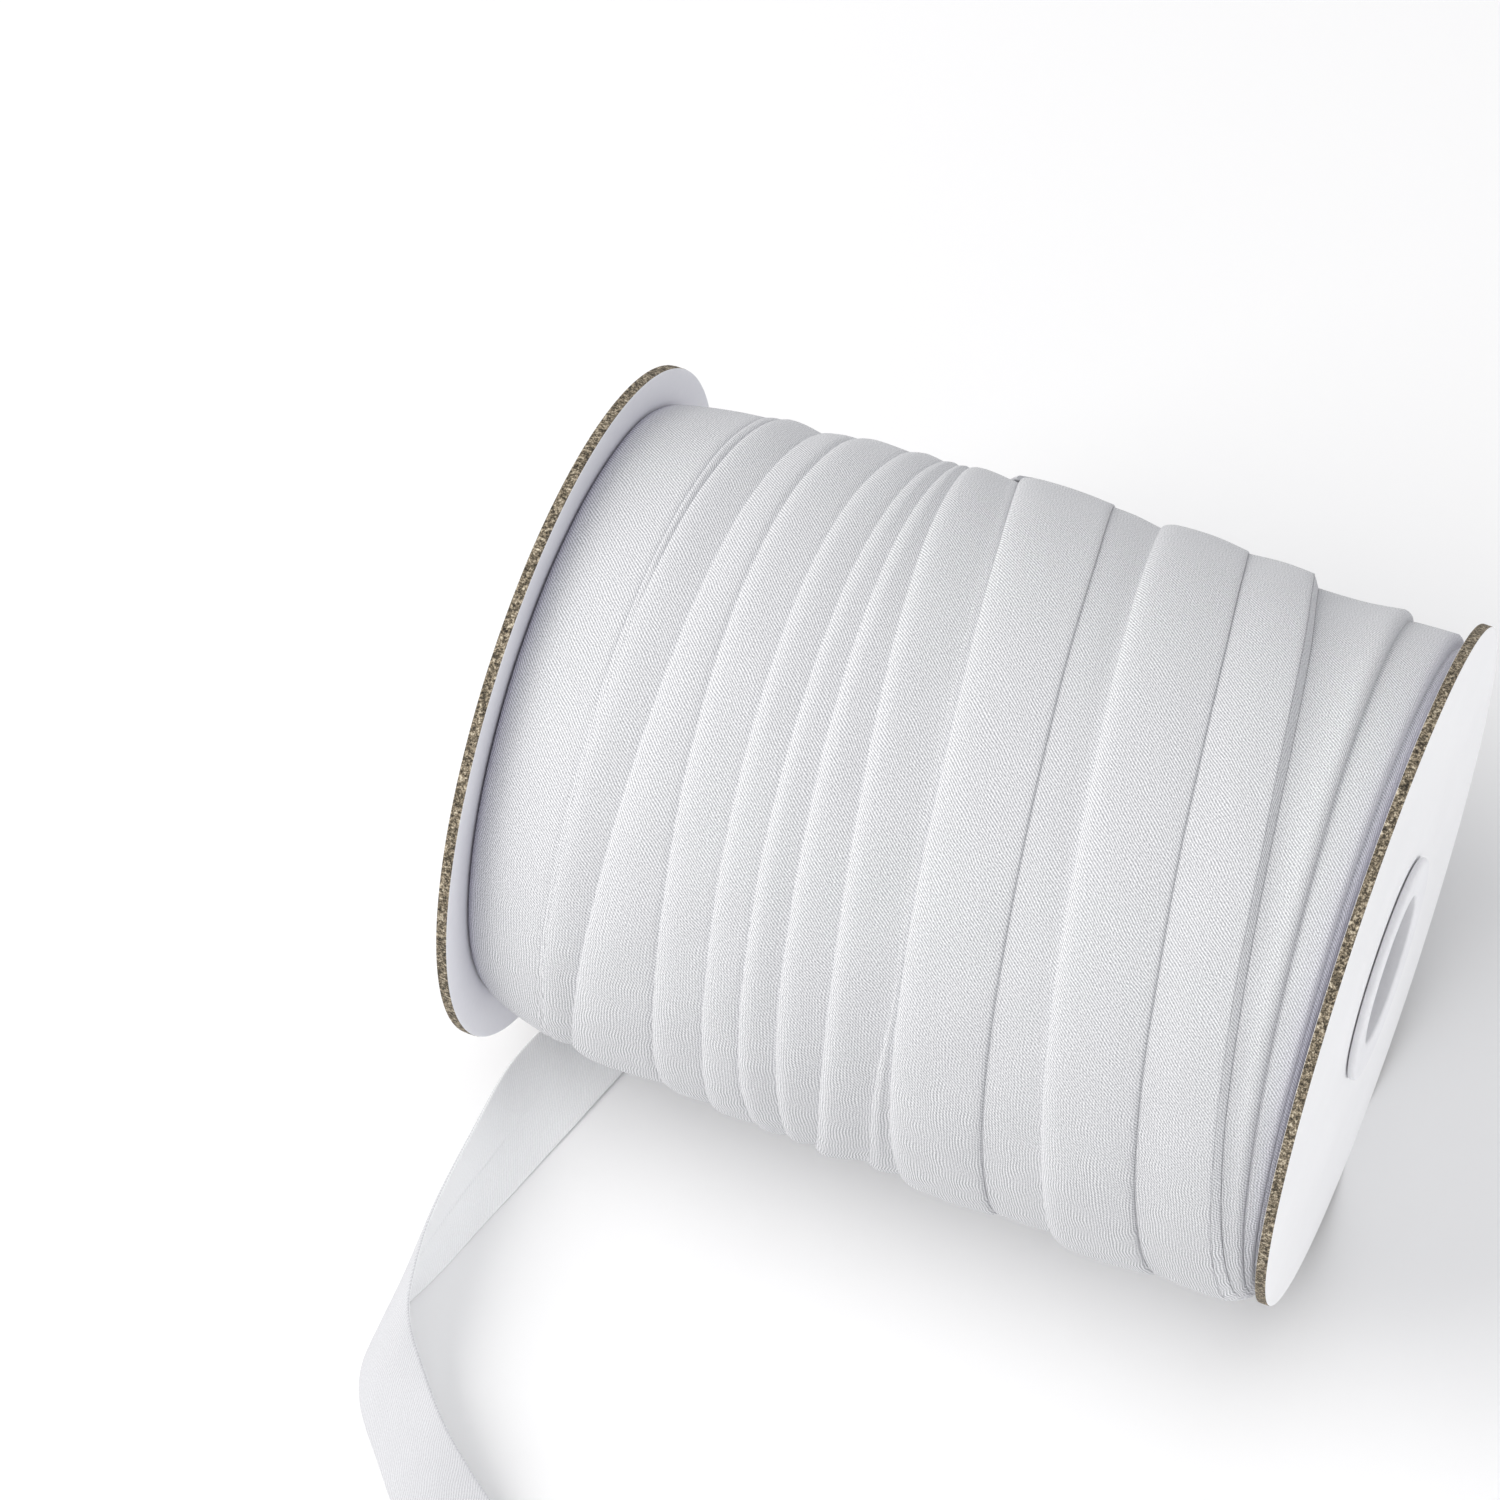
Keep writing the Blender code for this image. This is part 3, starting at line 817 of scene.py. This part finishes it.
def cloth_material(name, light, dark, contrast=1.0):
    """Cloth cut on the bias: ribs cross the tape at 45 degrees and cords run along it."""
    m = Nodes(name, light, 0.82)
    uv = m.node("ShaderNodeUVMap", uv_map="cloth").outputs[0]
    split = m.node("ShaderNodeSeparateXYZ")
    m.link(uv, split.inputs[0])
    u, v = split.outputs[0], split.outputs[1]
    place = m.node("ShaderNodeSeparateXYZ")
    m.link(m.node("ShaderNodeUVMap", uv_map="place").outputs[0], place.inputs[0])
    disc_shade, low = place.outputs[0], place.outputs[1]
    drift = m.noise(uv, DRIFT_SCALE, 0.0)
    bend = m.math("MULTIPLY", drift, THREAD_BEND)
    rib_at = m.math("ADD", m.math("ADD", u, v), bend)
    rib_rate = 2 * math.pi / (RIB_PITCH * math.sqrt(2))
    rib = m.math("SINE", m.math("MULTIPLY", rib_at, rib_rate))
    rib_share = m.math("SUBTRACT", RIB_SHARE, m.math("MULTIPLY", low, RIB_LOST_LOW))
    cord_at = m.math("ADD", m.math("ADD", u, m.math("MULTIPLY", v, CORD_SLANT)), bend)
    cord = m.math("SINE", m.math("MULTIPLY", cord_at, 2 * math.pi / CORD_PITCH))
    cord_share = m.math("ADD", m.math("MULTIPLY", low, CORD_GAINED_LOW), CORD_SHARE)
    cord_share = m.math("MULTIPLY", cord_share, drift)
    weave = m.math("ADD", m.math("MULTIPLY", rib, rib_share), m.math("MULTIPLY", cord, cord_share))
    fibre = m.math("SUBTRACT", m.noise(uv, FIBRE_SCALE, 1.0, 0.7), 0.5)
    weave = m.math("ADD", weave, m.math("MULTIPLY", fibre, FIBRE_SHARE))
    shade = m.math("ADD", m.math("MULTIPLY", weave, contrast), 0.5)
    # Painted shade: the base colour is multiplied towards a lavender grey beside the discs.
    mix = m.node("ShaderNodeMix", data_type="RGBA", blend_type="MULTIPLY")
    m.link(m.math("MULTIPLY", disc_shade, DISC_SHADE_SHARE, clamp=True), mix.inputs[0])
    m.link(m.ramp(shade, ((0.0, dark), (1.0, light))), mix.inputs[6])
    mix.inputs[7].default_value = (*DISC_SHADE_TINT, 1.0)
    m.link(mix.outputs[2], m.shader.inputs["Base Color"])
    m.link(m.bump(rib, 0.5, 0.00004), m.shader.inputs["Normal"])
    m.shader.inputs["Sheen Weight"].default_value = 0.12
    m.shader.inputs["Sheen Roughness"].default_value = 0.5
    m.shader.inputs["Specular IOR Level"].default_value = 0.25
    return m.material


def paper_material(name, light, dark, roughness):
    """Paper with fine fibres and faint broad patches."""
    m = Nodes(name, light, roughness)
    place = m.node("ShaderNodeTexCoord").outputs["Object"]
    fibre = m.noise(place, 900.0, 2.0, 0.6)
    patch = m.noise(place, 60.0, 1.0, 0.5)
    mixed = m.math("ADD", m.math("MULTIPLY", fibre, 0.4), m.math("MULTIPLY", patch, 0.6))
    m.link(m.ramp(mixed, ((0.3, dark), (0.7, light))), m.shader.inputs["Base Color"])
    m.link(m.bump(fibre, 0.15, 0.00003), m.shader.inputs["Normal"])
    return m.material


def board_edge_material():
    """Cut greyboard, speckled tan and brown."""
    m = Nodes("board_edge", (0.4, 0.34, 0.26), 0.85)
    place = m.node("ShaderNodeTexCoord").outputs["Object"]
    grain = m.noise(place, 4200.0, 2.0, 0.7)
    blot = m.noise(place, 1900.0, 1.0, 0.5)
    mixed = m.math("ADD", m.math("MULTIPLY", grain, 0.6), m.math("MULTIPLY", blot, 0.4))
    speckle = ((0.36, (0.02, 0.015, 0.01)), (0.47, (0.11, 0.09, 0.06)),
               (0.55, (0.32, 0.26, 0.18)), (0.66, (0.78, 0.70, 0.54)))
    m.link(m.ramp(mixed, speckle), m.shader.inputs["Base Color"])
    m.link(m.bump(mixed, 0.8, 0.0002), m.shader.inputs["Normal"])
    return m.material


# Surroundings, in metres
HALF_FLOOR = 3.0
AIM = (0, 0, 0.04)
END_AIM = (0, 0, 0.045)
KEY_COLOUR = (1.0, 0.985, 0.965)
WHITE = (1.0, 1.0, 1.0)
SKY = (0.97, 0.975, 1.0)
SKY_STRENGTH = 0.55


def make_floor():
    """A plain pale floor."""
    m = Nodes("floor", (0.95, 0.95, 0.95), 0.9)
    place = m.node("ShaderNodeTexCoord").outputs["Object"]
    pale = ((0.3, (0.945, 0.945, 0.945)), (0.7, (0.955, 0.955, 0.955)))
    m.link(m.ramp(m.noise(place, 3.0, 0.0), pale), m.shader.inputs["Base Color"])
    mesh = bpy.data.meshes.new("floor")
    corners = [(-1, -1), (1, -1), (1, 1), (-1, 1)]
    mesh.from_pydata([(x * HALF_FLOOR, y * HALF_FLOOR, 0) for x, y in corners], [], [(0, 1, 2, 3)])
    mesh.materials.append(m.material)
    floor = bpy.data.objects.new("floor", mesh)
    bpy.context.scene.collection.objects.link(floor)


def add_light(name, place, target, size, energy, colour):
    """A square light at a place, turned to its target."""
    data = bpy.data.lights.new(name, "AREA")
    data.shape = "SQUARE"
    data.size = size
    data.energy = energy
    data.color = colour
    light = bpy.data.objects.new(name, data)
    light.location = place
    aim = Vector(target) - Vector(place)
    light.rotation_euler = aim.to_track_quat("-Z", "Y").to_euler()
    bpy.context.scene.collection.objects.link(light)


def make_lights():
    """A key from the left, a weak light from above and a small one along the spool's axis."""
    world = bpy.data.worlds.new("studio")
    bpy.context.scene.world = world
    world.use_nodes = True
    background = world.node_tree.nodes["Background"]
    background.inputs[0].default_value = (*SKY, 1.0)
    background.inputs[1].default_value = SKY_STRENGTH
    add_light("key", (-0.88, -0.42, 0.88), AIM, 1.0, 12.0, KEY_COLOUR)
    add_light("top_fill", (0.05, -0.10, 1.20), AIM, 0.8, 2.2, WHITE)
    add_light("end_fill", (0.65, -0.04, 0.06), END_AIM, 0.12, 0.95, WHITE)
    bpy.context.scene.view_settings.view_transform = "Standard"


def make_camera():
    """The photograph's camera, solved from the discs' rims."""
    data = bpy.data.cameras.new("camera")
    data.lens = 168.0
    data.sensor_width = 36.0
    data.sensor_fit = "HORIZONTAL"
    data.clip_start = 0.01
    camera = bpy.data.objects.new("camera", data)
    camera.location = (0.13667, -0.43412, 0.81227)
    camera.rotation_euler = (math.radians(31.29), 0.0, math.radians(21.07))
    bpy.context.scene.collection.objects.link(camera)
    bpy.context.scene.camera = camera


cloth = cloth_material("bias_cloth", (0.98, 0.985, 1.0), (0.36, 0.365, 0.385), 0.66)
# Painted shade: a dark lavender copy of the cloth for the wound ends in the gaps beside the discs.
wound_ends_painted_shade = cloth_material("wound_ends_painted_shade", (0.26, 0.24, 0.30), (0.12, 0.11, 0.15))
# Painted light and shade: the loose end's back, in the roll's shade, gets brighter cloth than its
# face, which faces the key and gets darker cloth.
free_back_painted_light = cloth_material("loose_back_painted_light", (0.98, 0.985, 0.995), (0.88, 0.885, 0.895), 0.6)
free_face_painted_shade = cloth_material("loose_face_painted_shade", (0.78, 0.785, 0.805), (0.50, 0.505, 0.525), 0.4)
# Painted light: the left disc's inner face lies in shade, so its paper is made brighter than the
# right disc's, with a lavender tint for the bounced shade.
left_inner_paper_painted_light = paper_material("left_inner_paper_painted_light", (0.93, 0.93, 0.97), (0.88, 0.88, 0.93), 0.6)
# Painted shade: the left disc's outer face faces the key, so its paper is made darker than the
# right disc's.
left_outer_paper_painted_shade = paper_material("left_outer_paper_painted_shade", (0.70, 0.70, 0.715), (0.65, 0.65, 0.665), 0.5)
right_paper = paper_material("right_paper", (0.90, 0.90, 0.91), (0.86, 0.86, 0.87), 0.5)
tube_paper = paper_material("tube_paper_look", (0.86, 0.86, 0.88), (0.78, 0.78, 0.80), 0.6)
board_edge = board_edge_material()

angles = -90.0 + 360.0 * np.arange(ANGLE_STEPS) / ANGLE_STEPS
columns = winding_columns(angles)
make_winding(cloth, wound_ends_painted_shade, angles, columns)
make_last_turn(cloth, angles, columns)
make_free_end(free_face_painted_shade, free_back_painted_light)
make_disc("left_disc", -1, "flange_left", [left_outer_paper_painted_shade, board_edge, left_inner_paper_painted_light])
make_disc("right_disc", 1, "flange_right", [right_paper, board_edge, right_paper])
make_tube(tube_paper)
make_floor()
make_lights()
make_camera()
